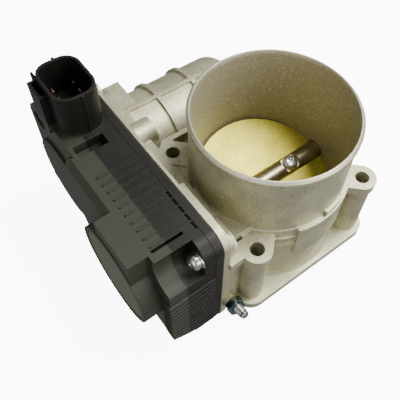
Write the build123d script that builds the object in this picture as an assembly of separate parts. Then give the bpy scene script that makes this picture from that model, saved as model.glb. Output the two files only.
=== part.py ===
from build123d import *
from math import acos, atan2, cos, degrees, hypot, pi, radians, sin, sqrt, tan
import os

# Electronic throttle body: cast housing, bored throat with a butterfly plate,
# and a plastic-covered case that holds the drive motor and its reduction gears.
#
# Frame, in millimetres: +Z runs up the throat towards the air inlet, the throttle
# shaft lies along X with the gear case at -X, and the motor lies towards +Y.
# The origin is on the throat's axis, in the face of the mounting flange.

# ---- throat and flange
bore_r = 35.0
throat_wall = 3.6
inlet_flare = 1.7
spigot_wall = 1.3
bead_proud = 0.9
bead_height = 3.2
inlet_z = 86.5
taper_start = 16.0
flange_half = 42.0
flange_corner_r = 9.0
flange_t = 5.0
foot_fillet = 1.6
foot_height = 3.5
bolt_half = 33.0
bolt_hole_r = 3.5
post_r = 6.2
ear_r = 7.2
ear_t = 5.0
ear_top_z = 46.5
step_z = 49.0
saddle_z = 50.0
near_fins_z = (43.0, 36.5)
fin_t = 0.9
fin_proud = 1.0
pad_proud = 1.8
pad_height = 21.0

# ---- throttle shaft and plate
shaft_z = 33.0
shaft_r = 5.0
plate_t = 2.2
plate_gap = 0.08
closed_tilt = 6.0
rest_opening = 8.0
plate_screw_x = 16.0
plate_screw_r = 2.0
plate_head_r = 4.0
plate_head_t = 2.4
running_gap = 0.03
slot_gap = 0.02
bearing_wall = 3.0
bearing_t = 8.0
seal_t = 2.0
seal_land = 1.0
seal_step = 0.5
shaft_clear = 0.3

# ---- gear case
case_stand = 15.5
lip_t = 3.4
lip_thin_t = 1.5
lip_step_y = 3.0
case_near_y = -31.7
case_far_y = 91.0
case_bottom_z = -14.0
case_top_z = 68.0
near_corner_r = 9.0
far_corner_r = 15.0
pan_depth = 7.5
floor_t = 2.5
pan_inset = 2.2
pan_wall = 2.6
pan_top_drop = 11.0
shallow_depth = 2.0

# ---- motor
motor_y = 64.5
motor_z = 26.0
motor_bore_r = 22.4
motor_wall = 2.6
motor_dome_r = 9.0
motor_rib_proud = 1.6
motor_rib_w = 2.2
can_length = 64.0
can_gap = 0.2
can_t = 1.5
end_plate_t = 2.2
motor_shaft_r = 2.5
near_bush_r = 5.0
far_bush_r = 4.0
brush_half_w = 2.0
magnet_t = 3.2
air_gap = 0.8
commutator_r = 6.5
brush_gap = 0.1
brush_length = 6.4
winding_drop = 2.3
slot_depth = 7.7

# ---- gear train
module = 1.0
sector_teeth = 60
small_teeth = 15
large_teeth = 44
pinion_teeth = 12
centre_gap = 0.12
flank_thinning = 0.10
pressure_angle = radians(25)
travel_open = 76.0
sector_back = 7.5
sector_t = 7.0
wheel_gap = 1.5
large_t = 5.5
pin_r = 3.0
pin_gap = 0.05

# ---- cover
gasket_t = 0.6
cover_wall = 2.2
cover_inset = 0.6
border_back = 4.0
cover_depth = 27.5
bottom_rise = 13.0
boss_r = 25.4
boss_out = 10.0
cap_r = 22.6
cap_t = 2.5
tower_y = (50.5, 77.0)
tower_top = 91.0
tower_corner_r = 7.5
tower_wall = 1.3
socket_floor = 72.0
latch_y = (62.6, 74.4)
latch_top = 87.0
latch_out = 3.6
latch_wall = 1.4
key_proud = 1.2
screw_r = 2.0
screw_head_r = 3.9
screw_head_t = 2.8
washer_r = 4.6
washer_t = 0.8
lock_washer_r = 3.7
lock_washer_t = 1.1
screw_seat = 9.5
screw_grip = 4.1
post_boss_r = 4.8
cover_screw_at = [(-26.5, 58.5), (80.5, 56.0), (80.5, -4.5), (47.0, -7.5), (-25.0, -6.0)]
blind_boss_at = (46.8, 52.7)
blind_boss_r = 7.1
motor_pad_y = (67.0, 84.5)
motor_pad_top = 52.5

# ---- stop screw
stop_r = 2.5
stop_tilt = 20.0
stop_nut_at = (-37.5, 10.0)
stop_inner = 26.0
stop_outer = 8.5
nut_t = 4.0
stop_boss_r = 3.8
stop_boss_len = 14.0

# ---- radii about the throat, and places along the shaft, from the sizes above
barrel_r = bore_r + throat_wall
inlet_r = bore_r + inlet_flare
spigot_r = inlet_r + spigot_wall
bead_r = spigot_r + bead_proud
joint_x = -(bore_r + case_stand)
lip_x = joint_x + lip_t
pan_floor_x = joint_x + pan_depth
sector_x = (joint_x - sector_back - sector_t, joint_x - sector_back)
large_x = (sector_x[0] - wheel_gap - large_t, sector_x[0] - wheel_gap)
border_x = joint_x - border_back
cover_x = joint_x - cover_depth
boss_x = cover_x - boss_out
tower_x = (cover_x + 2.5, border_x - 0.5)
seat_x = joint_x - screw_seat
screw_end_x = joint_x + screw_grip
near_boss_end_x = joint_x + 5.5
pan_boss_end_x = pan_floor_x + 4.0
stop_x = joint_x + 4.0
motor_barrel_r = motor_bore_r + motor_wall
motor_screw_far = motor_bore_r + 3.2

os.makedirs("parts", exist_ok=True)
parts = {}


# ---- shapes used again and again
def keep(name, shape):
    parts[name] = shape


def box(x0, x1, y0, y1, z0, z1):
    return Pos((x0 + x1) / 2, (y0 + y1) / 2, (z0 + z1) / 2) * Box(abs(x1 - x0), abs(y1 - y0), abs(z1 - z0))


def rod_z(x, y, z0, z1, r):
    return Pos(x, y, (z0 + z1) / 2) * Cylinder(r, abs(z1 - z0))


def rod_x(x0, x1, y, z, r):
    return Pos((x0 + x1) / 2, y, z) * Rot(0, 90, 0) * Cylinder(r, abs(x1 - x0))


def ring_x(x0, x1, y, z, r_out, r_in):
    return rod_x(x0, x1, y, z, r_out) - rod_x(min(x0, x1) - 1, max(x0, x1) + 1, y, z, r_in)


def across(x, y=0.0, z=0.0):
    """Plane square to the shaft at x, whose own axes are Y and Z."""
    return Plane(origin=(x, y, z), x_dir=(0, 1, 0), z_dir=(1, 0, 0))


def prism_x(face, x0, x1, y=0.0, z=0.0):
    return extrude(across(min(x0, x1), y, z) * face, amount=abs(x1 - x0))


def about_shaft(shape, angle):
    """Turn a shape about the throttle shaft; a positive angle lifts its +Y side."""
    return Pos(0, 0, shaft_z) * Rot(angle, 0, 0) * Pos(0, 0, -shaft_z) * shape


def group(shapes):
    return Compound(children=[s for shape in shapes for s in shape.solids()])


def case_face(inset=0.0, top_drop=0.0):
    """Outline of the gear case, drawn in Y and Z and pulled in by an inset."""
    y0, y1 = case_near_y + inset, case_far_y - inset
    z0, z1 = case_bottom_z + inset, case_top_z - inset - top_drop
    face = Pos((y0 + y1) / 2, (z0 + z1) / 2) * Rectangle(y1 - y0, z1 - z0)
    face = fillet(face.vertices().group_by(Axis.X)[0], max(near_corner_r - inset, 1.0))
    return fillet(face.vertices().group_by(Axis.X)[-1], max(far_corner_r - inset, 1.0))


def gear_face(teeth, phase, first=None, last=None):
    """Involute gear outline; with first and last, in radians, only a sector has teeth."""
    pitch_r = module * teeth / 2
    base_r = pitch_r * cos(pressure_angle)
    tip_r = pitch_r + 0.9 * module
    root_r = pitch_r - 1.15 * module
    involute = tan(pressure_angle) - pressure_angle
    half = pi / (2 * teeth) - flank_thinning / (2 * pitch_r) + involute

    def flank(r):
        turn = acos(min(1.0, base_r / r))
        return half - (tan(turn) - turn)

    start_r = max(root_r, base_r)
    radii = [start_r + (tip_r - start_r) * i / 4 for i in range(5)]
    step = 2 * pi / teeth
    points = []
    for i in range(teeth):
        middle = (phase + i * step) % (2 * pi)
        if first is not None and not (first <= (middle if middle < pi else middle - 2 * pi) <= last):
            middle = phase + i * step
            for part in (-0.3, 0.3):
                points.append((root_r * cos(middle + part * step), root_r * sin(middle + part * step)))
            continue
        middle = phase + i * step
        points.append((root_r * cos(middle - flank(start_r)), root_r * sin(middle - flank(start_r))))
        for r in radii:
            points.append((r * cos(middle - flank(r)), r * sin(middle - flank(r))))
        for r in reversed(radii):
            points.append((r * cos(middle + flank(r)), r * sin(middle + flank(r))))
        points.append((root_r * cos(middle + flank(start_r)), root_r * sin(middle + flank(start_r))))
    tidy = [points[0]]
    for p in points[1:]:
        if hypot(p[0] - tidy[-1][0], p[1] - tidy[-1][1]) > 1e-4:
            tidy.append(p)
    return make_face(Polyline(tidy, close=True))


# ---- places worked out from the sizes above
throttle_gear_gap = module * (sector_teeth + small_teeth) / 2 + centre_gap
motor_gear_gap = module * (large_teeth + pinion_teeth) / 2 + centre_gap
motor_far = hypot(motor_y, motor_z - shaft_z)
along = (motor_far ** 2 + throttle_gear_gap ** 2 - motor_gear_gap ** 2) / (2 * motor_far)
aside = sqrt(throttle_gear_gap ** 2 - along ** 2)
line_angle = atan2(motor_z - shaft_z, motor_y)
mid_y = along * cos(line_angle) - aside * sin(line_angle)
mid_z = shaft_z + along * sin(line_angle) + aside * cos(line_angle)
mesh_one = atan2(mid_z - shaft_z, mid_y)
mesh_two = atan2(motor_z - mid_z, motor_y - mid_y)
bolts = [(sx * bolt_half, sy * bolt_half) for sx in (-1, 1) for sy in (-1, 1)]
bearing_r = shaft_r + bearing_wall
seal_r = bearing_r - seal_step
far_seal_x = (bore_r + seal_land, bore_r + seal_land + seal_t)
far_bearing_x = (far_seal_x[1], far_seal_x[1] + bearing_t)
far_boss_x = far_bearing_x[1] + 2.0
near_seal_x = (-far_seal_x[1], -far_seal_x[0])
near_bearing_x = (-far_bearing_x[1], -far_bearing_x[0])
near_boss_r = bearing_r + 3.0
stop_dir = (0, -cos(radians(stop_tilt)), sin(radians(stop_tilt)))
can_r = motor_bore_r - can_gap
can_x = (pan_floor_x, pan_floor_x + can_length)
motor_barrel_end = can_x[1] + 6.0
end_plate_x = (can_x[0] - end_plate_t, can_x[0])


def stop_rod(t0, t1, r, sides=0):
    """Length of the stop screw's axis, from t0 to t1 outwards of its nut."""
    plane = Plane(origin=(stop_x, stop_nut_at[0], stop_nut_at[1]), x_dir=(1, 0, 0), z_dir=stop_dir)
    face = RegularPolygon(r, sides) if sides else Circle(r)
    return extrude(plane.offset(t0) * face, amount=t1 - t0)


# ---- housing
def ear(x, y):
    """Top lug of a bolt post, run straight in to the barrel."""
    far = hypot(x, y)
    lug = Pos(far - 10, 0) * Rectangle(20, 2 * ear_r) + Pos(far, 0) * Circle(ear_r)
    return Pos(0, 0, ear_top_z - ear_t) * extrude(Rot(0, 0, degrees(atan2(y, x))) * lug, amount=ear_t)


def case_web(points, top_z, thickness):
    """Flat web between the gear case and the throat, drawn from above."""
    return Pos(0, 0, top_z - thickness) * extrude(make_face(Polyline(points, close=True)), amount=thickness)


def barrel_patch(x0, x1, z0, z1, proud):
    """Raised patch on the -Y side of the throat's barrel, following its curve."""
    return rod_z(0, 0, z0, z1, barrel_r + proud) & box(x0, x1, -2 * barrel_r, -barrel_r / 2, z0, z1)


def housing_outside():
    flange = extrude(RectangleRounded(2 * flange_half, 2 * flange_half, flange_corner_r), amount=flange_t)
    side = make_face(Polyline((0, 0), (barrel_r, 0), (barrel_r, step_z - 0.8), (spigot_r, step_z),
                              (spigot_r, inlet_z - bead_height - 1), (bead_r, inlet_z - bead_height),
                              (bead_r, inlet_z - 1.2), (bead_r - 1.2, inlet_z), (0, inlet_z), close=True))
    body = flange + revolve(Plane.XZ * side, Axis.Z)
    for x, y in bolts:
        body += rod_z(x, y, 0, ear_top_z, post_r)
        body += ear(x, y)
    body += Pos(0, 0, flange_t + foot_height / 2) * Cone(barrel_r + foot_fillet, barrel_r, foot_height)
    b = bolt_half
    near_web = [(joint_x + 3, -b), (joint_x + 3, 8 - b), (4 - b, 8 - b), (18 - b, 8 - b), (12 - b, 1.8 - b),
                (6.5 - b, -2.5 - b), (-b, -b)]
    far_web = [(pan_floor_x, b - 6), (pan_floor_x, b + 6), (-2.9 - b, b + 6.4), (-0.5 - b, b + 9.5),
               (15.5 - b, b + 9.5), (15.5 - b, b + 6.8), (4.5 - b, b + 6.8), (3.5 - b, b - 5)]
    mid_web = [(pan_floor_x, 7.5), (pan_floor_x, b - 5), (3.5 - b, b - 4), (-b, 18.0), (-35.5, 10.0),
               (-35.5, 7.5)]
    body += case_web(near_web, ear_top_z, ear_t)
    body += case_web(mid_web, ear_top_z - 0.6, ear_top_z - shaft_z)
    body += box(lip_x - 0.5, -b, case_near_y + 1.2, 8 - b, flange_t - 1, ear_top_z - ear_t + 1)
    body += case_web(far_web, ear_top_z, ear_t)
    body += prism_x(case_face(), joint_x, lip_x)
    body -= box(joint_x + lip_thin_t, lip_x + 1, lip_step_y, case_far_y + 1, shaft_z, case_top_z + 1)
    saddle = [(pan_floor_x, -24.0), (pan_floor_x, 8.0), (-36.0, 8.0), (-30.0, 0.0), (-27.0, -24.0)]
    body += case_web(saddle, saddle_z, saddle_z - shaft_z)
    for z in near_fins_z:
        body += barrel_patch(-25.0, -12.0, z - fin_t, z, fin_proud)
    body += barrel_patch(-13.0, 22.0, step_z - pad_height, step_z, pad_proud)
    body += barrel_patch(2.0, 13.0, step_z, step_z + 3.0, fin_proud)
    body += prism_x(case_face(pan_inset, pan_top_drop), joint_x, pan_floor_x + floor_t)
    barrel = rod_x(joint_x + 1, motor_barrel_end, motor_y, motor_z, motor_barrel_r)
    barrel = fillet(barrel.edges().group_by(Axis.X)[-1], motor_dome_r)
    body += barrel
    rib_r = motor_barrel_r + motor_rib_proud
    for x in (can_x[0] + 22.2, can_x[0] + 43.2):
        ring = rod_x(x - motor_rib_w / 2, x + motor_rib_w / 2, motor_y, motor_z, rib_r)
        body += ring - box(x - motor_rib_w, x + motor_rib_w, 0, motor_y - motor_bore_r, 0, shaft_z + rib_r)
    body += box(joint_x + 2, motor_barrel_end - motor_dome_r, motor_y - motor_rib_w / 2,
                motor_y + motor_rib_w / 2, motor_z, motor_z + rib_r)
    body += box(joint_x + 1, pan_floor_x + 10.5, *motor_pad_y, motor_z, motor_pad_top)
    body += rod_x(joint_x + 1, pan_floor_x + 7.0, *blind_boss_at, blind_boss_r)
    body += rod_x(joint_x + 2, -bore_r + 5, 0, shaft_z, near_boss_r + 2.0)
    body += rod_x(bore_r - 5, far_boss_x, 0, shaft_z, near_boss_r)
    for y, z in cover_screw_at:
        low_boss = y > 0 and z < shaft_z
        body += rod_x(joint_x + 1, pan_boss_end_x if low_boss else near_boss_end_x, y, z, post_boss_r)
    body += rod_x(joint_x + 1, pan_boss_end_x, mid_y, mid_z, 6.0)
    body += stop_rod(-stop_boss_len, -nut_t / 2, stop_boss_r)
    return body


def housing_inside():
    throat = make_face(Polyline((0, -1), (bore_r, -1), (bore_r, shaft_z + taper_start),
                                (inlet_r, inlet_z - 2), (inlet_r + 0.5, inlet_z),
                                (inlet_r + 0.5, inlet_z + 1), (0, inlet_z + 1), close=True))
    cut = revolve(Plane.XZ * throat, Axis.Z)
    for x, y in bolts:
        cut += rod_z(x, y, -1, ear_top_z + 1, bolt_hole_r)
    deep = prism_x(case_face(pan_inset + pan_wall), joint_x - 1, joint_x + shallow_depth)
    deep += prism_x(case_face(pan_inset + pan_wall, pan_top_drop), joint_x - 1, pan_floor_x)
    for y, z in cover_screw_at:
        deep -= rod_x(joint_x, pan_floor_x + 1, y, z, post_boss_r)
    deep -= rod_x(pan_floor_x - 1.5, pan_floor_x + 1, mid_y, mid_z, 6.0)
    deep -= rod_x(near_bearing_x[0], pan_floor_x + 1, 0, shaft_z, near_boss_r)
    deep -= stop_rod(-stop_boss_len, -nut_t / 2, stop_boss_r)
    cut += deep
    cut += rod_x(end_plate_x[0] - 0.3, can_x[1] + 1, motor_y, motor_z, motor_bore_r)
    cut += rod_x(joint_x - 10, far_boss_x + 2, 0, shaft_z, shaft_r + shaft_clear)
    cut += rod_x(near_bearing_x[0] - 5, near_bearing_x[1], 0, shaft_z, bearing_r)
    cut += rod_x(near_seal_x[0] - 1, near_seal_x[1], 0, shaft_z, seal_r)
    cut += rod_x(far_seal_x[0], far_seal_x[1] + 1, 0, shaft_z, seal_r)
    cut += rod_x(far_bearing_x[0], far_boss_x + 1, 0, shaft_z, bearing_r)
    for y, z in cover_screw_at:
        cut += rod_x(joint_x - 1, screw_end_x + 0.5, y, z, screw_r)
    cut += rod_x(joint_x - 1, pan_floor_x + 2.5, mid_y, mid_z, pin_r)
    cut += stop_rod(-stop_boss_len - 2, 2.0, stop_r)
    for y, z in motor_screw_at:
        cut += rod_x(pan_floor_x - 1, pan_floor_x + floor_t + 2, y, z, 1.5)
    return cut


motor_screw_at = [(motor_y + motor_screw_far * cos(a), motor_z + motor_screw_far * sin(a))
                  for a in (radians(130), radians(-50))]
keep("throttle_housing", housing_outside() - housing_inside())

keep("gear_side_bearing", ring_x(*near_bearing_x, 0, shaft_z, bearing_r, shaft_r + running_gap))
keep("far_side_bearing", ring_x(*far_bearing_x, 0, shaft_z, bearing_r, shaft_r + running_gap))
keep("gear_side_seal", ring_x(*near_seal_x, 0, shaft_z, seal_r, shaft_r + running_gap))
keep("far_side_seal", ring_x(*far_seal_x, 0, shaft_z, seal_r, shaft_r + running_gap))
keep("shaft_end_plug", rod_x(far_boss_x - 1.4, far_boss_x - 0.2, 0, shaft_z, bearing_r))


# ---- throttle shaft, plate and what turns with them, drawn with the plate level
tilt = closed_tilt + rest_opening
flat_height = 3.4
shaft_far_end = far_boss_x - 2.0
hub_x = (sector_x[0] - 3.0, near_bearing_x[0] - 0.8)
thread_r = 3.0
shaft_step_x = hub_x[0]
nut_x = (shaft_step_x - 1.0, shaft_step_x - 5.0)
tip_x = cover_x - 2.0


def shaft():
    body = rod_x(shaft_step_x, shaft_far_end, 0, shaft_z, shaft_r)
    body += rod_x(nut_x[1] - 1.2, shaft_step_x + 1, 0, shaft_z, thread_r)
    body += rod_x(tip_x, nut_x[1], 0, shaft_z, thread_r - 0.6)
    body -= box(-bore_r, bore_r, -20, 20, shaft_z - plate_t / 2 - slot_gap, shaft_z + plate_t / 2 + slot_gap)
    for sx in (-1, 1):
        x = sx * plate_screw_x
        body -= rod_z(x, 0, shaft_z + flat_height, shaft_z + 20, plate_head_r + 1.0)
        body -= rod_z(x, 0, shaft_z - 20, shaft_z + 20, plate_screw_r)
    body -= box(hub_x[0] - 0.1, hub_x[1] - 0.4, shaft_r - 1.0, shaft_r + 2, shaft_z - 8, shaft_z + 8)
    return about_shaft(body, tilt)


def plate():
    slab = Pos(0, 0, shaft_z) * Box(3 * bore_r, 3 * bore_r, plate_t)
    disc = about_shaft(slab, closed_tilt) & rod_z(0, 0, 0, 2 * shaft_z, bore_r - plate_gap)
    disc = about_shaft(disc, -closed_tilt)
    for sx in (-1, 1):
        disc -= rod_z(sx * plate_screw_x, 0, shaft_z - 20, shaft_z + 20, plate_screw_r)
    return about_shaft(disc, tilt)


def plate_screw(x):
    base = shaft_z + flat_height
    head = fillet(rod_z(x, 0, base, base + plate_head_t, plate_head_r).edges().group_by(Axis.Z)[-1], 1.1)
    screw = head + rod_z(x, 0, shaft_z - 4.4, base + 0.5, plate_screw_r)
    for turn in (0, 90):
        screw -= Pos(x, 0, base + plate_head_t) * Rot(0, 0, turn + 30) * Box(4.2, 0.9, 2.4)
    return about_shaft(screw, tilt)


keep("throttle_shaft", shaft())
keep("throttle_plate", plate())
keep("plate_screws", group([plate_screw(-plate_screw_x), plate_screw(plate_screw_x)]))

# contact point of the stop screw's tip, as seen from the shaft
tip_y = stop_nut_at[0] - stop_dir[1] * stop_inner
tip_z = stop_nut_at[1] - stop_dir[2] * stop_inner
stop_angle = degrees(atan2(tip_z - shaft_z, tip_y))
stop_reach = hypot(tip_y, tip_z - shaft_z)
lug_turn = 12.0
arm_t = 2.8


def wedge(r, a0, a1):
    """Sector-shaped face between two angles in degrees."""
    angles = [radians(a0 + (a1 - a0) * i / 12) for i in range(13)]
    return make_face(Polyline([(0, 0)] + [(r * cos(a), r * sin(a)) for a in angles], close=True))


def throttle_gear():
    first = mesh_one - radians(travel_open + 12)
    last = mesh_one + radians(rest_opening + 12)
    toothed = gear_face(sector_teeth, mesh_one, first, last)
    pie = wedge(2 * module * sector_teeth, degrees(first) - 2, degrees(last) + 2)
    quadrant = prism_x(toothed & pie, *sector_x, 0, shaft_z)
    mouth = wedge(2 * module * sector_teeth, degrees(first) + 12, degrees(last) - 12) & Circle(
        module * sector_teeth / 2 - 4.5)
    quadrant -= prism_x(mouth - Circle(13.0), sector_x[0] - 1, sector_x[0] + 2.2, 0, shaft_z)
    quadrant -= prism_x(mouth - Circle(13.0), sector_x[1] - 2.2, sector_x[1] + 1, 0, shaft_z)
    hub = rod_x(*hub_x, 0, shaft_z, 9.0)
    lug_first = stop_angle + rest_opening + 0.3
    arm = wedge(stop_reach + 2.6, lug_first, lug_first + lug_turn)
    body = quadrant + hub + prism_x(arm + Circle(9.0), hub_x[1] - arm_t, hub_x[1], 0, shaft_z)
    flat = box(hub_x[0] - 1, hub_x[1] + 1, shaft_r - 1.0, shaft_r + 2, shaft_z - 8, shaft_z + 8)
    hole = rod_x(hub_x[0] - 1, hub_x[1] + 1, 0, shaft_z, shaft_r)
    end = rod_x(hub_x[1] - 0.4, hub_x[1] + 1, 0, shaft_z, shaft_r)
    return body - (hole - about_shaft(flat, tilt)) - end


def hexagon_x(x0, x1, y, z, across_flats):
    return prism_x(RegularPolygon(across_flats / sqrt(3), 6), x0, x1, y, z)


keep("throttle_gear", throttle_gear())
keep("gear_washer", ring_x(shaft_step_x, nut_x[0], 0, shaft_z, 7.0, thread_r))
nut = hexagon_x(*nut_x, 0, shaft_z, 10.0)
keep("gear_nut", nut - rod_x(*nut_x, 0, shaft_z, thread_r))
rotor_x = (cover_x - 1.4, cover_x + 1.4)
rotor = rod_x(*rotor_x, 0, shaft_z, 8.0) + box(*rotor_x, 0, 14.0, shaft_z - 3.2, shaft_z + 3.2)
rotor -= rod_x(rotor_x[0] - 1, rotor_x[1] + 1, 0, shaft_z, thread_r - 0.6)
keep("sensor_rotor", about_shaft(rotor, tilt))
wipers = [box(rotor_x[0] - 1.4, rotor_x[0], y, y + 1.2, shaft_z - 2.0, shaft_z + 2.0) for y in (7.5, 11.0)]
keep("sensor_wipers", group([about_shaft(w, tilt) for w in wipers]))

# ---- return spring, wound about the gear's hub and clear of it
spring_r = 12.6
spring_wire_r = 0.7
spring_turns = 4
spring_x = (hub_x[1] - arm_t - spring_wire_r - 0.4, sector_x[1] + spring_wire_r + 0.4)
spring_length = spring_x[0] - spring_x[1]
coil = Helix(pitch=spring_length / spring_turns, height=spring_length, radius=spring_r)
coil_wire = Plane(origin=coil @ 0, z_dir=coil % 0) * Circle(spring_wire_r)
spring = sweep(coil_wire, path=coil)
keep("return_spring", Pos(spring_x[0], 0, shaft_z) * Rot(0, -90, 0) * spring)

# ---- motor
can = rod_x(*can_x, motor_y, motor_z, can_r)
can -= rod_x(can_x[0] - 1, can_x[1] - can_t, motor_y, motor_z, can_r - can_t)
can -= rod_x(*can_x, motor_y, motor_z, far_bush_r)
keep("motor_can", can)
magnet_r = can_r - can_t
armature_r = magnet_r - magnet_t - air_gap
magnet_x = (can_x[0] + 13.0, can_x[1] - 7.0)
magnets = ring_x(*magnet_x, motor_y, motor_z, magnet_r, magnet_r - magnet_t)
magnets -= box(magnet_x[0] - 1, magnet_x[1] + 1, motor_y - 5, motor_y + 5, motor_z - 40, motor_z + 40)
keep("motor_magnets", group([magnets]))
end_plate = rod_x(*end_plate_x, motor_y, motor_z, motor_bore_r)
for y, z in motor_screw_at:
    tab = Pos((end_plate_x[0] + end_plate_x[1]) / 2, y, z) * Rot(0, 90, 0) * Cylinder(3.9, end_plate_t)
    end_plate += tab
end_plate -= rod_x(end_plate_x[0] - 1, end_plate_x[1] + 1, motor_y, motor_z, near_bush_r)
for y, z in motor_screw_at:
    end_plate -= rod_x(end_plate_x[0] - 1, end_plate_x[1] + 1, y, z, 1.5)
keep("motor_end_plate", end_plate)
bush_bore_r = motor_shaft_r + running_gap
near_bush = ring_x(end_plate_x[0] - 1.5, end_plate_x[1] + 1.0, motor_y, motor_z, near_bush_r, bush_bore_r)
far_bush = ring_x(can_x[1] - 5.0, can_x[1], motor_y, motor_z, far_bush_r, bush_bore_r)
keep("motor_bushes", group([near_bush, far_bush]))


def small_screw(y, z, seat, end, r, head_r, head_t):
    """Pan-head screw along X with a cross recess, its head towards -X."""
    head = rod_x(seat - head_t, seat, y, z, head_r)
    head = fillet(head.edges().group_by(Axis.X)[0], min(1.2, head_t * 0.45))
    screw = head + rod_x(seat - 0.5, end, y, z, r)
    for turn in (0, 90):
        screw -= Pos(seat - head_t, y, z) * Rot(turn + 20, 0, 0) * Box(2.0, head_r * 1.15, 0.8)
    return screw


keep("motor_screws", group([small_screw(y, z, end_plate_x[0], pan_floor_x + floor_t + 1.0, 1.5, 2.9, 1.9)
                                  for y, z in motor_screw_at]))
motor_shaft_x = (large_x[0] - 1.5, can_x[1] - 1.0)
keep("motor_shaft", rod_x(*motor_shaft_x, motor_y, motor_z, motor_shaft_r))
stack_x = (can_x[0] + 15.0, can_x[1] - 9.0)
stack = ring_x(*stack_x, motor_y, motor_z, armature_r, motor_shaft_r)
for i in range(8):
    slot = box(stack_x[0] - 1, stack_x[1] + 1, armature_r - slot_depth, armature_r + 5, -1.1, 1.1)
    stack -= Pos(0, motor_y, motor_z) * Rot(i * 45.0, 0, 0) * slot
keep("armature_stack", stack)
coils = []
for i in range(8):
    for x0, x1 in ((stack_x[0] - 2.4, stack_x[0]), (stack_x[1], stack_x[1] + 2.4)):
        coil_end = box(x0, x1, commutator_r + 0.5, armature_r - winding_drop, -2.6, 2.6)
        coils.append(Pos(0, motor_y, motor_z) * Rot(i * 45.0 + 22.5, 0, 0) * coil_end)
keep("armature_windings", group(coils))
commutator_x = (can_x[0] + 3.5, can_x[0] + 11.0)
keep("commutator", ring_x(*commutator_x, motor_y, motor_z, commutator_r, motor_shaft_r))
brush_x = (can_x[0] + 5.0, can_x[0] + 9.5)
brush_start = commutator_r + brush_gap
brush_end = brush_start + brush_length


def brush(side):
    return box(*brush_x, motor_y - brush_half_w, motor_y + brush_half_w,
               motor_z + side * brush_start, motor_z + side * brush_end)


brushes = [brush(side) for side in (-1, 1)]
brush_card = ring_x(can_x[0] + 0.6, can_x[0] + 1.8, motor_y, motor_z, can_r - can_t, commutator_r + 1.5)
for side in (-1, 1):
    holder = box(can_x[0] + 1.8, brush_x[1] + 0.9, motor_y - 3.2, motor_y + 3.2,
                 motor_z + side * (commutator_r + 1.5), motor_z + side * (brush_end + 2.0))
    brush_card += holder - brush(side)
keep("motor_brushes", group(brushes))
keep("brush_card", brush_card)
pinion = gear_face(pinion_teeth, mesh_two + pi + pi / pinion_teeth) - Circle(motor_shaft_r)
keep("motor_pinion", prism_x(pinion, large_x[0] - 1.0, large_x[1] + 1.5, motor_y, motor_z))

# ---- intermediate gear on its fixed pin
pin_end_x = cover_x + 2.8
keep("intermediate_pin", rod_x(pin_end_x, pan_floor_x + 2.5, mid_y, mid_z, pin_r))
small = gear_face(small_teeth, mesh_one + pi + pi / small_teeth)
large = gear_face(large_teeth, mesh_two)
inter = prism_x(small, large_x[1] - 0.5, sector_x[1] + 1.0, mid_y, mid_z)
inter += prism_x(large, *large_x, mid_y, mid_z)
inter += rod_x(sector_x[1], joint_x + 1.0, mid_y, mid_z, 5.2)
inter += rod_x(large_x[0] - 1.0, large_x[0] + 1, mid_y, mid_z, 5.2)
groove = Circle(module * large_teeth / 2 - 3.6) - Circle(module * small_teeth / 2 + 3.0)
inter -= prism_x(groove, large_x[0] - 1, large_x[0] + 1.8, mid_y, mid_z)
inter -= rod_x(large_x[0] - 3, joint_x + 2.5, mid_y, mid_z, pin_r + pin_gap)
keep("intermediate_gear", inter)

# ---- stop screw and its lock nut
keep("stop_screw", stop_rod(-stop_inner, stop_outer, stop_r))
keep("stop_lock_nut", stop_rod(-nut_t / 2, nut_t / 2, 8.0 / sqrt(3), 6) - stop_rod(-nut_t, nut_t, stop_r))


# ---- cover, its gasket and the connector socket moulded with it
cover_base_x = joint_x - gasket_t
inner_inset = cover_inset + cover_wall
inner_x = cover_x + cover_wall
ceiling_drop = 0.8
top_z = case_top_z - cover_inset
near_y = case_near_y + cover_inset
channel_r = 11.2
channel_at = (cover_screw_at[0][0] - 4.5, cover_screw_at[0][1] + 3.0)
channel_x = seat_x
bulge_x = cover_x - 4.5
bulge_y = (8.6, 48.0)
block_y = (-17.4, 8.6)
ledge_x = cover_x - 3.8
board_t = 1.4
board_r = 21.3
cap_leg_far = 17.0
rib_count = 10
rib_first_y = 26.1
rib_pitch = 4.55
rib_w = 1.0
rib_proud = 0.9
rib_groove = 1.0
rib_groove_w = 1.4
side_rib_count = 12
side_rib_top_z = 40.0
side_rib_pitch = 4.1
side_rib_proud = 0.8
side_rib_t = 1.3
rib_end_x = border_x - 0.3
pocket_y = (40.6, 47.4)
slot_y = (-17.4, -15.8)
slot_depth_z = 5.0
pocket_depth = 5.6
floor_under = 2.0
pin_rows_x = (sum(tower_x) / 2 - 5.0, sum(tower_x) / 2 + 5.0)
pin_y = (57.5, 64.0, 70.5)
blade = (0.8, 2.0)
blade_top = 80.5
pin_foot_z = 54.0
pin_foot_step = 1.8
pin_foot_end_y = 24.0


def under_slope(depth, x_end):
    """Wedge under the cover's sloping bottom, pushed up into it by a depth."""
    low = case_bottom_z - 5
    wedge_face = make_face(Polyline((border_x + 1, low), (border_x, case_bottom_z + depth),
                                    (x_end, case_bottom_z + bottom_rise + depth),
                                    (x_end - 12, low + bottom_rise), (x_end - 12, low), close=True))
    return Pos(0, case_far_y + 5, 0) * extrude(Plane.XZ * wedge_face, amount=case_far_y - case_near_y + 10)


def tower_block(inset, low, high):
    """Rounded block of the connector's outline, pulled in by an inset."""
    outline = RectangleRounded(tower_x[1] - tower_x[0] - 2 * inset, tower_y[1] - tower_y[0] - 2 * inset,
                               tower_corner_r - inset)
    return Pos(sum(tower_x) / 2, sum(tower_y) / 2, low) * extrude(outline, amount=high - low)


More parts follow.
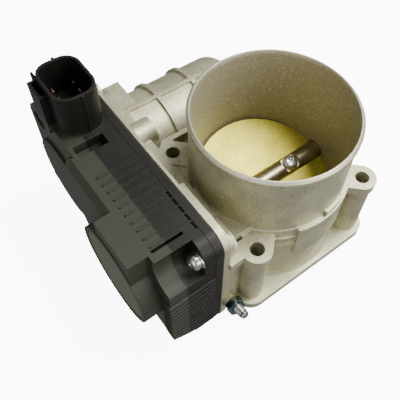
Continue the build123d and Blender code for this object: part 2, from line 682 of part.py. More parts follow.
def connector_tower():
    """Connector's shroud before it is hollowed, with its latch loop and its three keys."""
    tower = tower_block(0, top_z - 7.4, tower_top)
    latch_x = tower_x[0] - latch_out
    tower += box(latch_x, tower_x[0] + 1, *latch_y, top_z - 3, latch_top)
    tower -= box(latch_x + latch_wall, tower_x[0], latch_y[0] + latch_wall, latch_y[1] - latch_wall,
                 top_z, latch_top + 1)
    key_x = (sum(tower_x) / 2 + 0.5, sum(tower_x) / 2 + 0.5 + key_proud)
    tower += box(*key_x, tower_y[0] - key_proud / 2, tower_y[0] + 1, top_z - 1, tower_top - 0.6)
    tower += box(*key_x, tower_y[1] - 1, tower_y[1] + key_proud, tower_top - 9, tower_top)
    tower += box(tower_x[0], tower_x[0] + key_proud, tower_y[1] - 5, tower_y[1] + key_proud, top_z - 2,
                 latch_top + 1)
    return tower


def cover_outside():
    body = prism_x(case_face(0.3), border_x, cover_base_x)
    body += prism_x(case_face(cover_inset), cover_x, border_x) - under_slope(cover_inset, cover_x)
    bulge_left = bulge_y[0] - 4
    gear_bulge = make_face(Polyline((bulge_left, mid_z - 20), (bulge_left, top_z), (bulge_y[1] - 6, top_z),
                                    (bulge_y[1], top_z - 6), (bulge_y[1], mid_z + 4), (mid_y, mid_z - 20),
                                    close=True))
    bulge = prism_x(gear_bulge, bulge_x, cover_x + 1)
    body += chamfer(bulge.faces().sort_by(Axis.X)[0].edges(), 3.0)
    body += rod_x(cover_x - 1.4, cover_x + 1, motor_y, motor_z, 23.0)
    body += rod_x(boss_x, cover_x + 1, 0, shaft_z, boss_r)
    body += box(boss_x + 0.4, cover_x + 1, *block_y, shaft_z, top_z)
    body += connector_tower()
    for i in range(side_rib_count):
        z = side_rib_top_z - i * side_rib_pitch
        slope_x = cover_x if z > case_bottom_z + bottom_rise + 2 else border_x - (z - case_bottom_z - 2) * 1.7
        body += box(max(slope_x, cover_x), border_x, near_y - side_rib_proud, near_y + 1, z, z + side_rib_t)
        if slope_x <= cover_x:
            body += box(cover_x - side_rib_proud, cover_x + 1, near_y - side_rib_proud, near_y + 6,
                        z, z + side_rib_t)
    for i in range(rib_count):
        body += cover_rib(rib_first_y - i * rib_pitch)
    return body


def cover_inside():
    cut = prism_x(case_face(inner_inset, ceiling_drop), inner_x, cover_base_x + 1)
    cut -= under_slope(inner_inset, inner_x)
    bulge_left = bulge_y[0] - 4
    gear_space = make_face(Polyline((bulge_left, mid_z - 17), (bulge_left, top_z - 4),
                                    (bulge_y[1] - 8, top_z - 4), (bulge_y[1] - 3, top_z - 9),
                                    (bulge_y[1] - 3, mid_z + 4), (mid_y, mid_z - 17), close=True))
    cut += prism_x(gear_space, bulge_x + 3.4, inner_x + 0.1)
    cut -= rod_x(channel_x + 2.0, cover_x, *channel_at, channel_r + 2.0)
    for side_y, depth in ((slot_y, slot_depth_z), (pocket_y, pocket_depth)):
        cut -= box(cover_x, seat_x, side_y[0] - floor_under, side_y[1] + floor_under,
                   top_z - depth - floor_under, top_z)
    for y, z in cover_screw_at:
        cut -= rod_x(cover_base_x + 2, cover_x, y, z, washer_r + 2.1)
    cut -= rod_x(bulge_x + 1, large_x[0] - 1.3, mid_y, mid_z, pin_r + 2.2)
    cut -= box(*tower_x, *tower_y, 60, top_z)
    cut += rod_x(ledge_x, cover_x + 3, 0, shaft_z, board_r - 1.6)
    cut += rod_x(boss_x + cap_t, ledge_x + 0.01, 0, shaft_z, board_r + 0.1)
    cut += rod_x(boss_x - 1, boss_x + cap_t, 0, shaft_z, cap_r)
    cut += rod_x(pin_end_x, -70, mid_y, mid_z, pin_r)
    return cut


def cover_rib(y):
    """Thin raised rib across the cover's top, with a round far end."""
    blade_r = rib_w / 2
    bar = box(cover_x + 3.0, rib_end_x, y - blade_r, y + blade_r, top_z - 1, top_z + rib_proud)
    return bar + rod_z(cover_x + 3.0, y, top_z - 1, top_z + rib_proud, blade_r)


def cover_details():
    cut = rod_x(channel_x, boss_x - 4, *channel_at, channel_r)
    for y, z in cover_screw_at:
        cut += rod_x(seat_x, boss_x - 4, y, z, washer_r + 0.5)
        cut += rod_x(joint_x + 1, seat_x - 1, y, z, screw_r + 0.2)
    for i in range(rib_count // 2, rib_count):
        y = rib_first_y - i * rib_pitch
        cut += box(rib_end_x - rib_groove_w, rib_end_x, y - rib_pitch + rib_w, y,
                   top_z - rib_groove, top_z + 1)
    cut += box(cover_x + 1.8, seat_x - 1.0, *pocket_y, top_z - pocket_depth, top_z + 1)
    cut += box(cover_x + 1.8, seat_x - 1.0, *slot_y, top_z - slot_depth_z, top_z + 1)
    cut += tower_block(tower_wall, socket_floor, tower_top + 5)
    return cut


def pin_leg(x, y, low):
    return box(x - blade[0] / 2, x + blade[0] / 2, y - blade[1] / 2, y + blade[1] / 2, low, blade_top)


def connector_pin(number, x, y):
    """Blade up into the socket, with a foot that runs along the inside of the cover."""
    low = pin_foot_z - pin_foot_step * number
    pin = pin_leg(x, y, low)
    pin += box(inner_x, x, y - blade[1] / 2, y + blade[1] / 2, low, low + blade[0])
    return pin + box(inner_x, inner_x + 0.5, pin_foot_end_y, y, low, low + blade[0])


pin_at = [(x, y) for x in pin_rows_x for y in pin_y]
cover = cover_outside() - cover_inside()
for y, z in cover_screw_at:
    cover += rod_x(joint_x, seat_x, y, z, post_boss_r)
cover -= cover_details()
for x, y in pin_at:
    cover -= pin_leg(x, y, 40)
keep("gear_cover", cover)
gasket = case_face(0.5) - case_face(pan_inset + pan_wall - 0.6)
gasket_ring = prism_x(gasket, joint_x, cover_base_x)
for y, z in cover_screw_at:
    gasket_ring -= rod_x(joint_x + 1, cover_base_x - 1, y, z, post_boss_r + 0.05)
keep("cover_gasket", gasket_ring)
keep("connector_pins", group([connector_pin(i, x, y) for i, (x, y) in enumerate(pin_at)]))
under_head_x = seat_x - washer_t - lock_washer_t
keep("cover_screws", group([small_screw(y, z, under_head_x, screw_end_x, screw_r, screw_head_r, screw_head_t)
                            for y, z in cover_screw_at]))
keep("cover_screw_washers", group([ring_x(seat_x - washer_t, seat_x, y, z, washer_r, screw_r)
                                   for y, z in cover_screw_at]))


def lock_washer(y, z):
    """Spring washer with its slit, pressed flat under the screw's head."""
    ring = ring_x(under_head_x, seat_x - washer_t, y, z, lock_washer_r, screw_r + 0.1)
    slit = box(under_head_x - 1, seat_x, 0, 2 * lock_washer_r, -0.3, 0.3)
    return ring - Pos(0, y, z) * Rot(35, 0, 0) * slit


keep("cover_lock_washers", group([lock_washer(y, z) for y, z in cover_screw_at]))
terminals = []
for side in (-1, 1):
    middle = motor_z + side * 7.0
    terminals.append(box(end_plate_x[0] - 7.0, end_plate_x[0], motor_y + 12.0, motor_y + 12.8,
                         middle - 2.5, middle + 2.5))
keep("motor_terminals", group(terminals))
board = rod_x(ledge_x - board_t, ledge_x, 0, shaft_z, board_r)
keep("sensor_board", board)
cap = rod_x(boss_x + 0.3, boss_x + cap_t, 0, shaft_z, cap_r)
for angle in (40, 160, 280):
    leg = rod_x(boss_x + cap_t - 0.5, ledge_x - board_t, cap_leg_far, shaft_z, 1.5)
    cap += about_shaft(leg, angle)
keep("sensor_cap", cap)

for name in parts:
    export_step(parts[name], f"parts/{name}.step")
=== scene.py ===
import math

import bmesh
import bpy
from mathutils import Matrix, Vector


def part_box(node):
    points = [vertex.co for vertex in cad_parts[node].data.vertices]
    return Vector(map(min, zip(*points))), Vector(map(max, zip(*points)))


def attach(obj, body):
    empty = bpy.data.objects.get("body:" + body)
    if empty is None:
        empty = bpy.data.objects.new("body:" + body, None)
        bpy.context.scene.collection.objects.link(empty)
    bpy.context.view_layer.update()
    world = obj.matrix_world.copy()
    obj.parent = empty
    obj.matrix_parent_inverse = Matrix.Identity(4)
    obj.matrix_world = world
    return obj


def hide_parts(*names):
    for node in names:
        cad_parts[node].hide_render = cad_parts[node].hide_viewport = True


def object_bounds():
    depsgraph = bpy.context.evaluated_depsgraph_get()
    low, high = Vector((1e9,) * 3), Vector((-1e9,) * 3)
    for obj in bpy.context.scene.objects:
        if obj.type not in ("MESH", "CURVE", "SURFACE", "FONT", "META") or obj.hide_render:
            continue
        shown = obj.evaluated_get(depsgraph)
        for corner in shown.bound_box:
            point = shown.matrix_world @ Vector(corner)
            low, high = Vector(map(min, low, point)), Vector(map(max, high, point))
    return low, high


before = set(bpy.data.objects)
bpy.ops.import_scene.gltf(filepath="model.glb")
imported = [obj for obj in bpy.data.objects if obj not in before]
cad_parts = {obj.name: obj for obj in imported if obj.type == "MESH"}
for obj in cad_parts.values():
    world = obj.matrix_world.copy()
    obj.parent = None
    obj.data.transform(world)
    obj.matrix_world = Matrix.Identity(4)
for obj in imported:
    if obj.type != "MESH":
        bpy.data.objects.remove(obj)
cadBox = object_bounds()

print("frame loaded:", len(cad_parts), "nodes")


# shader arithmetic: a value that can be added, multiplied and compared in plain expressions
class Val:
    def __init__(self, paint, socket):
        self.paint = paint
        self.socket = socket

    def math(self, operation, *inputs):
        return self.paint.node("ShaderNodeMath", {"operation": operation}, dict(enumerate(inputs)))

    def __add__(self, other):
        return self.math("ADD", self, other)

    def __radd__(self, other):
        return self.math("ADD", other, self)

    def __sub__(self, other):
        return self.math("SUBTRACT", self, other)

    def __rsub__(self, other):
        return self.math("SUBTRACT", other, self)

    def __mul__(self, other):
        return self.math("MULTIPLY", self, other)

    def __rmul__(self, other):
        return self.math("MULTIPLY", other, self)

    def __truediv__(self, other):
        return self.math("DIVIDE", self, other)

    def __rtruediv__(self, other):
        return self.math("DIVIDE", other, self)

    def __pow__(self, other):
        return self.math("POWER", self, other)

    def __gt__(self, other):
        return self.math("GREATER_THAN", self, other)

    def __lt__(self, other):
        return self.math("LESS_THAN", self, other)


class Paint:
    # one material: its shader, its object coordinates, and the few patterns that the finishes share
    def __init__(self, name, **constants):
        self.material = bpy.data.materials.new(name)
        self.material.use_nodes = True
        self.tree = self.material.node_tree
        self.shader = self.tree.nodes["Principled BSDF"]
        self.where = self.node("ShaderNodeTexCoord", {}, {}, "Object")
        for words, value in constants.items():
            self.shader.inputs[words.replace("_", " ")].default_value = value

    def node(self, kind, settings, inputs, output=0):
        made = self.tree.nodes.new(kind)
        for key, value in settings.items():
            setattr(made, key, value)
        for key, value in inputs.items():
            if isinstance(value, Val):
                self.tree.links.new(value.socket, made.inputs[key])
            else:
                made.inputs[key].default_value = value
        return Val(self, made.outputs[output])

    def feed(self, name, value):
        self.tree.links.new(value.socket, self.shader.inputs[name])

    def axes(self):
        parts = self.node("ShaderNodeSeparateXYZ", {}, {0: self.where})
        return parts, Val(self, parts.socket.node.outputs[1]), Val(self, parts.socket.node.outputs[2])

    def noise(self, size, detail=2.0, roughness=0.5, stretch=None):
        # size is the pattern's grain in millimetres; stretch lengthens it along an axis
        place = self.where
        if stretch:
            place = self.node("ShaderNodeVectorMath", {"operation": "MULTIPLY"}, {0: place, 1: stretch})
        inputs = {"Vector": place, "Scale": 1000.0 / size, "Detail": detail, "Roughness": roughness}
        return self.node("ShaderNodeTexNoise", {}, inputs)

    def span(self, value, low, high, toLow=0.0, toHigh=1.0):
        inputs = {0: value, 1: low, 2: high, 3: toLow, 4: toHigh}
        return self.node("ShaderNodeMapRange", {"clamp": True}, inputs)

    def smooth(self, value, low, high):
        inputs = {0: value, 1: low, 2: high}
        return self.node("ShaderNodeMapRange", {"interpolation_type": "SMOOTHSTEP"}, inputs)

    def mix(self, share, first, second, blend="MIX"):
        settings = {"data_type": "RGBA", "blend_type": blend}
        return self.node("ShaderNodeMix", settings, {0: share, 6: first, 7: second}, 2)

    def rounded(self, radius):
        # normal that runs smoothly over sharp edges, and a mask that is 1 on them
        soft = self.node("ShaderNodeBevel", {"samples": 4}, {"Radius": radius})
        flat = self.node("ShaderNodeNewGeometry", {}, {}, "Normal")
        same = self.node("ShaderNodeVectorMath", {"operation": "DOT_PRODUCT"}, {0: soft, 1: flat}, "Value")
        return soft, self.span(1 - same, 0.01, 0.22)

    def bump(self, height, distance, strength, normal=None):
        inputs = {"Height": height, "Distance": distance, "Strength": strength}
        if normal:
            inputs["Normal"] = normal
        self.feed("Normal", self.node("ShaderNodeBump", {}, inputs))


def rgba(red, green, blue):
    return (red, green, blue, 1.0)


def castAluminiumPaint():
    look = {"light": rgba(0.62, 0.59, 0.40), "dark": rgba(0.46, 0.44, 0.295), "pit": rgba(0.25, 0.235, 0.15),
            "bore": rgba(0.36, 0.325, 0.215), "cut": rgba(0.62, 0.60, 0.46), "glint": rgba(0.88, 0.85, 0.68),
            "grain": 0.8, "pits": 1.0, "edge": 0.0005, "flare": 0.0024, "boreFade": 0.0006,
            "lipLow": 0.0010, "lipHigh": 0.0003, "flat": 0.00006}
    paint = Paint("castAluminium")
    x, y, z = paint.axes()
    grain = paint.noise(look["grain"], 3.0, 0.7)
    patches = paint.noise(11.0, 4.0)
    pits = paint.span(paint.noise(look["pits"], 2.0, 0.7), 0.53, 0.66)
    glintSpecks = paint.span(paint.noise(look["pits"] * 0.9, 2.0, 0.7), 0.56, 0.68)
    soft, edge = paint.rounded(look["edge"])
    radius = (x * x + y * y) ** 0.5
    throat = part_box("throttle_plate")[1].x + look["flare"]
    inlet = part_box("throttle_housing")[1].z
    inBore = paint.smooth(radius, throat, throat - look["boreFade"])
    # lip band: the machined rim top, also lightened here as a painted highlight along the rounded lip
    machinedLipHighlight = paint.smooth(z, inlet - look["lipLow"], inlet - look["lipHigh"])
    flat = look["flat"]
    flangeFace = (z < flat) * (z > -flat)
    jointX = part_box("cover_gasket")[1].x
    jointFace = (x < jointX + flat) * (x > jointX - flat)
    turned = paint.noise(0.35, 2.0, 0.6, (0.05, 0.05, 1.0))
    milled = paint.noise(0.4, 2.0, 0.6, (1.0, 0.04, 0.04))
    # machined flange and joint faces, plus half the lip band as a painted highlight
    cut = paint.node("ShaderNodeMath", {"operation": "MAXIMUM"}, {0: machinedLipHighlight * 0.5, 1: flangeFace + jointFace})
    colour = paint.mix(paint.span(patches, 0.35, 0.68), look["dark"], look["light"])
    colour = paint.mix(inBore, colour, look["bore"])
    colour = paint.mix(cut, colour, look["cut"])
    colour = paint.mix(pits * (0.55 - cut * 0.4), colour, look["pit"])
    # painted highlight: edges lightened where rounded edges would catch the light
    colour = paint.mix(edge * 0.4, colour, look["cut"])
    # painted glints: near-white specks mixed into the colour
    colour = paint.mix(glintSpecks * 0.42, colour, look["glint"])
    paint.feed("Base Color", colour)
    paint.feed("Metallic", 0.78 - inBore * 0.25)
    rough = 0.42 + paint.span(grain, 0.3, 0.7) * 0.16 - cut * 0.08 - edge * 0.06
    paint.feed("Roughness", rough)
    height = grain * (1 - cut * 0.8) + turned * inBore * 0.4 + milled * cut * 0.3
    paint.bump(height, 0.00022, 0.7, soft)
    return paint.material


def coverPlasticPaint(name, deep, worn):
    # moulded black nylon with light specks; its outer face is paler from a painted sheen, and it is darker
    # in the socket
    paint = Paint(name, Specular_IOR_Level=0.25)
    x, y, z = paint.axes()
    grain = paint.noise(0.34, 2.0, 0.6)
    cloud = paint.noise(26.0, 3.0)
    speck = paint.span(paint.noise(0.55, 2.0, 0.7), 0.56, 0.72)
    soft, edge = paint.rounded(0.00035)
    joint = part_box("cover_gasket")
    size = {"socketLow": 0.0005, "socketHigh": 0.004, "depth": 0.0182}
    socket = paint.smooth(z, joint[1].z - size["socketLow"], joint[1].z + size["socketHigh"])
    outerFaceSheen = (x < joint[0].x - size["depth"]) * (1 - socket)
    colour = paint.mix(paint.span(cloud, 0.3, 0.7), deep, worn)
    # painted sheen: the outer face made paler olive in place of its glossy reflection
    colour = paint.mix(outerFaceSheen * 0.5, colour, rgba(0.055, 0.057, 0.040))
    colour = paint.mix(speck * 0.30, colour, rgba(0.060, 0.057, 0.042))
    # painted highlight: edges lightened where they would catch the light
    colour = paint.mix(edge * 0.50, colour, rgba(0.105, 0.102, 0.080))
    colour = paint.mix(socket * 0.55, colour, rgba(0.004, 0.004, 0.0035))
    paint.feed("Base Color", colour)
    paint.feed("Roughness", 0.42 + paint.span(grain, 0.3, 0.7) * 0.14)
    paint.bump(grain, 0.00007, 0.5, soft)
    return paint.material


def plateBrassPaint():
    paint = Paint("platePassivate", Specular_IOR_Level=0.2)
    speck = paint.noise(0.55, 3.0, 0.75)
    cloud = paint.noise(9.0, 3.0)
    drawn = paint.noise(0.5, 2.0, 0.6, (0.05, 1.0, 1.0))
    soft, edge = paint.rounded(0.0003)
    colour = paint.mix(paint.span(cloud, 0.3, 0.7), rgba(0.66, 0.57, 0.07), rgba(0.76, 0.69, 0.11))
    colour = paint.mix(paint.span(speck, 0.46, 0.66) * 0.75, colour, rgba(0.30, 0.26, 0.045))
    colour = paint.mix(paint.span(speck, 0.40, 0.30) * 0.35, colour, rgba(0.90, 0.88, 0.55))
    # painted highlight: edges lightened where they would catch the light
    colour = paint.mix(edge * 0.4, colour, rgba(0.66, 0.62, 0.36))
    paint.feed("Base Color", colour)
    paint.feed("Metallic", 0.66 + paint.span(cloud, 0.3, 0.7) * 0.1)
    paint.feed("Roughness", 0.46 + paint.span(speck, 0.3, 0.7) * 0.16)
    paint.bump(speck * 0.6 + drawn * 0.4, 0.00010, 0.5, soft)
    return paint.material


def metalPaint(name, light, dark, rough, grainMm=0.4, stretch=None, depth=0.00004, edgeMm=0.25):
    # ground, drawn or plated metal, told apart by its colours and by the way its grain runs
    paint = Paint(name, Metallic=1.0)
    grain = paint.noise(grainMm, 3.0, 0.6, stretch)
    cloud = paint.noise(5.0, 3.0)
    soft, edge = paint.rounded(edgeMm / 1000)
    colour = paint.mix(paint.span(cloud, 0.3, 0.7), dark, light)
    # painted highlight: edges mixed towards near-white where they would catch the light
    colour = paint.mix(edge * 0.4, colour, rgba(0.85, 0.85, 0.83))
    paint.feed("Base Color", colour)
    paint.feed("Roughness", rough - 0.05 + paint.span(grain, 0.3, 0.7) * 0.12)
    paint.bump(grain, depth, 0.4, soft)
    return paint.material


def mouldedPaint(name, light, dark, rough, grainMm=0.3, edgeMm=0.25):
    # moulded, pressed or fired material with a faint mottle and a fine grain
    paint = Paint(name)
    grain = paint.noise(grainMm, 2.0, 0.6)
    cloud = paint.noise(6.0, 3.0)
    soft, edge = paint.rounded(edgeMm / 1000)
    colour = paint.mix(paint.span(cloud, 0.3, 0.7), dark, light)
    # painted highlight: edges lightened where they would catch the light
    colour = paint.mix(edge * 0.3, colour, tuple(min(1.0, c * 1.5 + 0.03) for c in light[:3]) + (1.0,))
    paint.feed("Base Color", colour)
    paint.feed("Roughness", rough + paint.span(grain, 0.3, 0.7) * 0.1)
    paint.bump(grain, 0.00005, 0.4, soft)
    return paint.material


acrossX = (0.06, 1.0, 1.0)
paints = {
    "cast": castAluminiumPaint(),
    "cover": coverPlasticPaint("coverPlastic", rgba(0.0062, 0.0056, 0.0040), rgba(0.0120, 0.0108, 0.0078)),
    "plate": plateBrassPaint(),
    "bearing": metalPaint("bearingSteel", rgba(0.62, 0.62, 0.62), rgba(0.5, 0.5, 0.51), 0.22, 0.3, acrossX),
    "steel": metalPaint("groundSteel", rgba(0.44, 0.39, 0.25), rgba(0.28, 0.245, 0.15), 0.34, 0.35, acrossX),
    "wire": metalPaint("springWire", rgba(0.42, 0.41, 0.40), rgba(0.28, 0.27, 0.26), 0.34, 0.25, acrossX),
    "zinc": metalPaint("brightZinc", rgba(0.66, 0.68, 0.60), rgba(0.46, 0.50, 0.44), 0.24, 0.5),
    "blueZinc": metalPaint("blueZinc", rgba(0.20, 0.29, 0.28), rgba(0.07, 0.12, 0.13), 0.28, 0.5),
    "studZinc": metalPaint("studZinc", rgba(0.55, 0.57, 0.50), rgba(0.30, 0.33, 0.29), 0.26, 0.5),
    "canSteel": metalPaint("drawnCan", rgba(0.60, 0.60, 0.58), rgba(0.50, 0.50, 0.48), 0.30, 0.4, acrossX),
    "laminations": metalPaint("laminations", rgba(0.40, 0.40, 0.42), rgba(0.25, 0.25, 0.27),
                              0.38, 0.5, (1.0, 0.03, 0.03)),
    "copper": metalPaint("copper", rgba(0.85, 0.48, 0.30), rgba(0.62, 0.30, 0.17), 0.26, 0.3),
    "enamelledWire": metalPaint("enamelledWire", rgba(0.72, 0.32, 0.14), rgba(0.50, 0.18, 0.07),
                                0.30, 0.35, acrossX, 0.00012),
    "bronze": metalPaint("sinteredBronze", rgba(0.62, 0.47, 0.26), rgba(0.45, 0.32, 0.16),
                         0.40, 0.2, None, 0.00008),
    "rubber": mouldedPaint("sealRubber", rgba(0.030, 0.030, 0.031), rgba(0.014, 0.014, 0.015), 0.62),
    "gasket": mouldedPaint("gasketRubber", rgba(0.028, 0.027, 0.025), rgba(0.015, 0.015, 0.014), 0.60),
    "nylon": mouldedPaint("naturalNylon", rgba(0.74, 0.70, 0.58), rgba(0.62, 0.57, 0.45), 0.42),
    "blackNylon": mouldedPaint("blackNylon", rgba(0.035, 0.034, 0.033), rgba(0.018, 0.018, 0.018), 0.45),
    "ferrite": mouldedPaint("ferrite", rgba(0.075, 0.075, 0.080), rgba(0.045, 0.045, 0.050), 0.55, 0.2),
    "carbon": mouldedPaint("carbon", rgba(0.040, 0.038, 0.038), rgba(0.020, 0.020, 0.020), 0.50, 0.15),
    "board": mouldedPaint("circuitBoard", rgba(0.035, 0.16, 0.07), rgba(0.02, 0.10, 0.05), 0.30, 0.4),
    # sensor cap: the cover's plastic in paler olive, a painted sheen for the light its face reflects
    "cap": coverPlasticPaint("capPaintedSheenPlastic", rgba(0.16, 0.165, 0.11), rgba(0.20, 0.205, 0.14)),
}

nodePaint = {
    "throttle_housing": "cast", "gear_cover": "cover", "throttle_plate": "plate", "throttle_shaft": "steel",
    "gear_side_bearing": "bearing", "far_side_bearing": "bearing", "gear_side_seal": "rubber",
    "far_side_seal": "rubber", "shaft_end_plug": "steel", "return_spring": "wire", "motor_can": "canSteel",
    "motor_magnets": "ferrite", "motor_end_plate": "canSteel", "motor_bushes": "bronze",
    "motor_screws": "zinc", "motor_brushes": "carbon", "brush_card": "blackNylon",
    "motor_terminals": "copper", "intermediate_pin": "steel", "stop_screw": "studZinc",
    "stop_lock_nut": "blueZinc", "cover_gasket": "gasket", "cover_screws": "zinc",
    "cover_screw_washers": "zinc", "cover_lock_washers": "zinc", "connector_pins": "copper",
    "sensor_board": "board", "sensor_cap": "cap", "plate_screws": "zinc", "throttle_gear": "nylon",
    "gear_washer": "zinc", "gear_nut": "zinc", "sensor_rotor": "blackNylon", "sensor_wipers": "copper",
    "intermediate_gear": "nylon", "motor_shaft": "steel", "armature_stack": "laminations",
    "armature_windings": "enamelledWire", "commutator": "copper", "motor_pinion": "bronze",
}
for nodeName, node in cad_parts.items():
    node.data.materials.clear()
    node.data.materials.append(paints[nodePaint[nodeName]])
print("finishes:", len(paints), "on", len(nodePaint), "nodes")


def solidsOf(nodeName):
    # the corners of each separate solid in a node, in the order of the solids' middles
    shape = bmesh.new()
    shape.from_mesh(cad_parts[nodeName].data)
    bmesh.ops.remove_doubles(shape, verts=shape.verts, dist=1e-6)
    left = set(shape.verts)
    solids = []
    while left:
        reach = [left.pop()]
        solid = []
        while reach:
            corner = reach.pop()
            solid.append(corner.co.copy())
            for edge in corner.link_edges:
                other = edge.other_vert(corner)
                if other in left:
                    left.remove(other)
                    reach.append(other)
        solids.append(solid)
    shape.free()
    return sorted(solids, key=lambda solid: tuple(middleOf(solid)))


def reachAlong(solid, way):
    heights = [corner.dot(way) for corner in solid]
    return min(heights), max(heights)


def middleOf(solid):
    return Vector([(min(c[i] for c in solid) + max(c[i] for c in solid)) / 2 for i in range(3)])


def turnedShape(profile, steps=40):
    # outline of (radius, height) pairs spun about Z
    shape = bmesh.new()
    corners = [shape.verts.new((r, 0, h)) for r, h in profile]
    edges = [shape.edges.new(pair) for pair in zip(corners, corners[1:])]
    bmesh.ops.spin(shape, geom=corners + edges, cent=(0, 0, 0), axis=(0, 0, 1), dvec=(0, 0, 0),
                   angle=2 * math.pi, steps=steps, use_merge=True, use_duplicate=False)
    bmesh.ops.remove_doubles(shape, verts=shape.verts, dist=1e-7)
    bmesh.ops.recalc_face_normals(shape, faces=shape.faces)
    return shape


def meshFrom(shape, name):
    mesh = bpy.data.meshes.new(name)
    shape.to_mesh(mesh)
    shape.free()
    return mesh


def carved(base, cutters, name):
    # take the cutters out of the base, and hand back the mesh that is left
    body = bpy.data.objects.new(name, meshFrom(base, name))
    bpy.context.scene.collection.objects.link(body)
    tools = []
    for index, cutter in enumerate(cutters):
        tool = bpy.data.objects.new(name + "Cutter", meshFrom(cutter, name + "Cutter"))
        bpy.context.scene.collection.objects.link(tool)
        cut = body.modifiers.new("cut" + str(index), "BOOLEAN")
        cut.operation = "DIFFERENCE"
        cut.solver = "EXACT"
        cut.object = tool
        tools.append(tool)
    mesh = bpy.data.meshes.new_from_object(body.evaluated_get(bpy.context.evaluated_depsgraph_get()))
    for spare in tools + [body]:
        bpy.data.objects.remove(spare)
    return mesh


def crossCutters(reach, width, depth, top):
    # two crossed wings of a cross recess, narrower at the bottom
    wings = []
    for turn in (0, 90):
        wing = bmesh.new()
        bmesh.ops.create_cube(wing, size=1.0)
        for corner in wing.verts:
            low = corner.co.z < 0
            corner.co.x *= 2 * reach * (0.45 if low else 1.0)
            corner.co.y *= width * (0.7 if low else 1.0)
            corner.co.z = top - depth if low else top + depth * 0.1
        spun = Matrix.Rotation(math.radians(turn), 3, "Z")
        bmesh.ops.rotate(wing, verts=wing.verts, cent=(0, 0, 0), matrix=spun)
        wings.append(wing)
    return wings


def panScrewMesh(size):
    # pan-head screw standing on its head's seat, head up, in metres
    r, h, s = size["headR"], size["headH"], size["shankR"]
    profile = [(0, h), (0.35 * r, 0.985 * h), (0.62 * r, 0.92 * h), (0.82 * r, 0.78 * h),
               (0.94 * r, 0.55 * h), (r, 0.28 * h), (r, 0.08 * h), (0.95 * r, 0), (s, 0),
               (s, 0.3 * s - size["length"]), (0.7 * s, -size["length"]), (0, -size["length"])]
    cross = crossCutters(size["crossR"], size["crossW"], size["crossDepth"], h)
    return carved(turnedShape(profile), cross, "screw")


def placed(shape, mesh, at, way, twist):
    # add a copy of a mesh to a shape, standing at a place and pointing along a way
    before = len(shape.verts)
    shape.from_mesh(mesh)
    shape.verts.ensure_lookup_table()
    turn = way.to_track_quat("Z", "Y").to_matrix().to_4x4() @ Matrix.Rotation(math.radians(twist), 4, "Z")
    bmesh.ops.transform(shape, matrix=Matrix.Translation(at) @ turn, verts=shape.verts[before:])


def standIn(shape, name, node, paint, body):
    # finish a piece that takes a node's place
    for face in shape.faces:
        face.smooth = True
    mesh = meshFrom(shape, name)
    mesh.set_sharp_from_angle(angle=math.radians(32))
    mesh.materials.append(paints[paint])
    piece = bpy.data.objects.new(name, mesh)
    bpy.context.scene.collection.objects.link(piece)
    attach(piece, body)
    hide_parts(node)
    return piece


def coverScrewPieces():
    size = {"headR": 0.0039, "headH": 0.0028, "shankR": 0.0020, "crossR": 0.0021, "crossW": 0.00085,
            "crossDepth": 0.0014, "twists": (80, 20, 65, 5, 40)}
    way = Vector((-1, 0, 0))
    solids = solidsOf("cover_screws")
    low, high = reachAlong(solids[0], way)
    size["length"] = high - low - size["headH"]
    screw = panScrewMesh(size)
    shape = bmesh.new()
    for solid, twist in zip(solids, size["twists"]):
        at = middleOf(solid)
        at.x = -(high - size["headH"])
        placed(shape, screw, at, way, twist)
    standIn(shape, "cover_pan_screws", "cover_screws", "zinc", "casing")
    print("cover screws:", len(solids))


def plateScrewPieces():
    size = {"headR": 0.0040, "headH": 0.0024, "shankR": 0.0020, "crossR": 0.0022, "crossW": 0.0009,
            "crossDepth": 0.0013, "twists": (35, 10)}
    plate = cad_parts["throttle_plate"].data
    way = max(plate.polygons, key=lambda face: face.area).normal.copy()
    if way.z < 0:
        way.negate()
    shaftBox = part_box("throttle_shaft")
    shaftZ = (shaftBox[0].z + shaftBox[1].z) / 2
    solids = solidsOf("plate_screws")
    low, high = reachAlong(solids[0], way)
    size["length"] = high - low - size["headH"]
    screw = panScrewMesh(size)
    shape = bmesh.new()
    for solid, twist in zip(solids, size["twists"]):
        hub = Vector((middleOf(solid).x, 0, shaftZ))
        seat = hub + way * (high - size["headH"] - hub.dot(way))
        placed(shape, screw, seat, way, twist)
    standIn(shape, "plate_pan_screws", "plate_screws", "zinc", "throttle")
    print("plate screws:", len(solids))


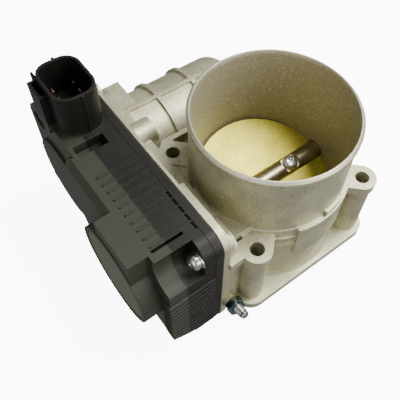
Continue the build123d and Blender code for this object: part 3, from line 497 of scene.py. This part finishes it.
def stopScrewPieces():
    size = {"pitch": 0.0008, "coreShare": 0.84, "stepsPerTurn": 20, "chamfer": 0.0006, "nutCorner": 0.0004}
    rings = sorted(solidsOf("stop_screw")[0], key=lambda corner: corner.y)
    half = len(rings) // 2
    outer = sum(rings[:half], Vector()) / half
    inner = sum(rings[half:], Vector()) / (len(rings) - half)
    way = (outer - inner).normalized()
    length = (outer - inner).length
    radius = (rings[0] - outer).length
    core = radius * size["coreShare"]
    c = size["chamfer"]
    outline = [(0, length), (core - c, length), (core, length - c), (core, c), (core - c, 0), (0, 0)]
    stud = meshFrom(turnedShape(outline), "studCore")
    shape = bmesh.new()
    placed(shape, stud, inner, way, 0)
    ridge = bmesh.new()
    p = size["pitch"]
    ridgeFoot = core * 0.9
    section = ((ridgeFoot, 0, 0), (radius, 0, p * 0.42), (ridgeFoot, 0, p * 0.84))
    corners = [ridge.verts.new(place) for place in section]
    edges = [ridge.edges.new((corners[i], corners[(i + 1) % 3])) for i in range(3)]
    turns = int((length - 2 * c) / p) - 1
    steps = turns * size["stepsPerTurn"]
    rise = (0, 0, p / size["stepsPerTurn"])
    bmesh.ops.spin(ridge, geom=corners + edges, cent=(0, 0, 0), axis=(0, 0, 1), dvec=rise,
                   angle=turns * 2 * math.pi, steps=steps, use_merge=False, use_duplicate=False)
    bmesh.ops.holes_fill(ridge, edges=ridge.edges, sides=4)
    bmesh.ops.recalc_face_normals(ridge, faces=ridge.faces)
    placed(shape, meshFrom(ridge, "studThread"), inner + way * c, way, 0)
    standIn(shape, "stop_stud", "stop_screw", "studZinc", "casing")

    nutSolid = solidsOf("stop_lock_nut")[0]
    low, high = reachAlong(nutSolid, way)
    centre = outer + way * ((low + high) / 2 - outer.dot(way))
    cornerR = max((corner - centre - way * (corner - centre).dot(way)).length for corner in nutSolid)
    nut = bmesh.new()
    bmesh.ops.create_cone(nut, segments=6, radius1=cornerR, radius2=cornerR, depth=high - low, cap_ends=True)
    bmesh.ops.bevel(nut, geom=nut.verts[:], offset=size["nutCorner"], affect="VERTICES", segments=2,
                    profile=0.5, material=-1)
    bmesh.ops.recalc_face_normals(nut, faces=nut.faces)
    shape = bmesh.new()
    placed(shape, meshFrom(nut, "nutBlank"), centre, way, 0)
    standIn(shape, "stop_hex_nut", "stop_lock_nut", "blueZinc", "casing")
    print("stop screw and nut")


coverScrewPieces()
plateScrewPieces()
stopScrewPieces()


def studio():
    room = {"floorHalf": 3.0, "below": 0.0004, "floor": rgba(0.92, 0.92, 0.91), "world": 0.32, "glow": 9.0}
    lowest = cadBox[0].z - room["below"]
    shape = bmesh.new()
    bmesh.ops.create_grid(shape, x_segments=1, y_segments=1, size=room["floorHalf"],
                          matrix=Matrix.Translation((0, 0, lowest)))
    mesh = bpy.data.meshes.new("floor")
    shape.to_mesh(mesh)
    shape.free()
    floor = bpy.data.objects.new("floor", mesh)
    bpy.context.scene.collection.objects.link(floor)
    paint = Paint("paleFloor", Roughness=0.7)
    cloud = paint.noise(300.0, 2.0)
    paint.feed("Base Color", paint.mix(paint.span(cloud, 0.3, 0.7), room["floor"], rgba(0.95, 0.95, 0.945)))
    paint.shader.inputs["Emission Color"].default_value = rgba(1, 1, 1)
    paint.shader.inputs["Emission Strength"].default_value = room["glow"]
    mesh.materials.append(paint.material)
    floor.visible_diffuse = False   # the floor is bright to look at, and adds no light of its own
    floor.visible_glossy = False
    world = bpy.data.worlds.new("softRoom")
    world.use_nodes = True
    world.node_tree.nodes["Background"].inputs["Color"].default_value = rgba(1.0, 1.0, 1.0)
    world.node_tree.nodes["Background"].inputs["Strength"].default_value = room["world"]
    bpy.context.scene.world = world
    middle = (cadBox[0] + cadBox[1]) / 2
    lamps = {   # name: direction from the object, distance, size, watts
        "key": ((0.5, -0.15, 1.0), 0.9, 0.45, 15.0),
        "fill": ((-1.0, -0.45, 0.45), 1.0, 0.8, 3.6),
        "front": ((0.35, -1.0, 0.45), 1.0, 0.6, 7.0),
    }
    for name, (way, distance, size, watts) in lamps.items():
        lamp = bpy.data.lights.new(name, "AREA")
        lamp.energy = watts
        lamp.size = size
        holder = bpy.data.objects.new(name, lamp)
        holder.location = middle + Vector(way).normalized() * distance
        holder.rotation_euler = (middle - holder.location).to_track_quat("-Z", "Y").to_euler()
        bpy.context.scene.collection.objects.link(holder)


def camera():
    view = {"azimuth": -41.37, "elevation": 55.80, "roll": 4.54, "place": (-0.1187, -0.1092, 0.2622),
            "lens": 49.38, "shiftX": -0.0767, "shiftY": -0.0366}
    lens = bpy.data.cameras.new("camera")
    lens.lens = view["lens"]
    lens.shift_x = view["shiftX"]
    lens.shift_y = view["shiftY"]
    lens.clip_start = 0.01
    holder = bpy.data.objects.new("camera", lens)
    a, e, r = (math.radians(view[key]) for key in ("azimuth", "elevation", "roll"))
    back = Vector((math.sin(a) * math.cos(e), -math.cos(a) * math.cos(e), math.sin(e)))
    level = Vector((math.cos(a), math.sin(a), 0.0))
    upright = back.cross(level)
    right = level * math.cos(r) + upright * math.sin(r)
    up = upright * math.cos(r) - level * math.sin(r)
    turn = Matrix((right, up, back)).transposed()
    holder.matrix_world = Matrix.Translation(view["place"]) @ turn.to_4x4()
    bpy.context.scene.collection.objects.link(holder)
    bpy.context.scene.camera = holder


studio()
camera()
print("studio ready")
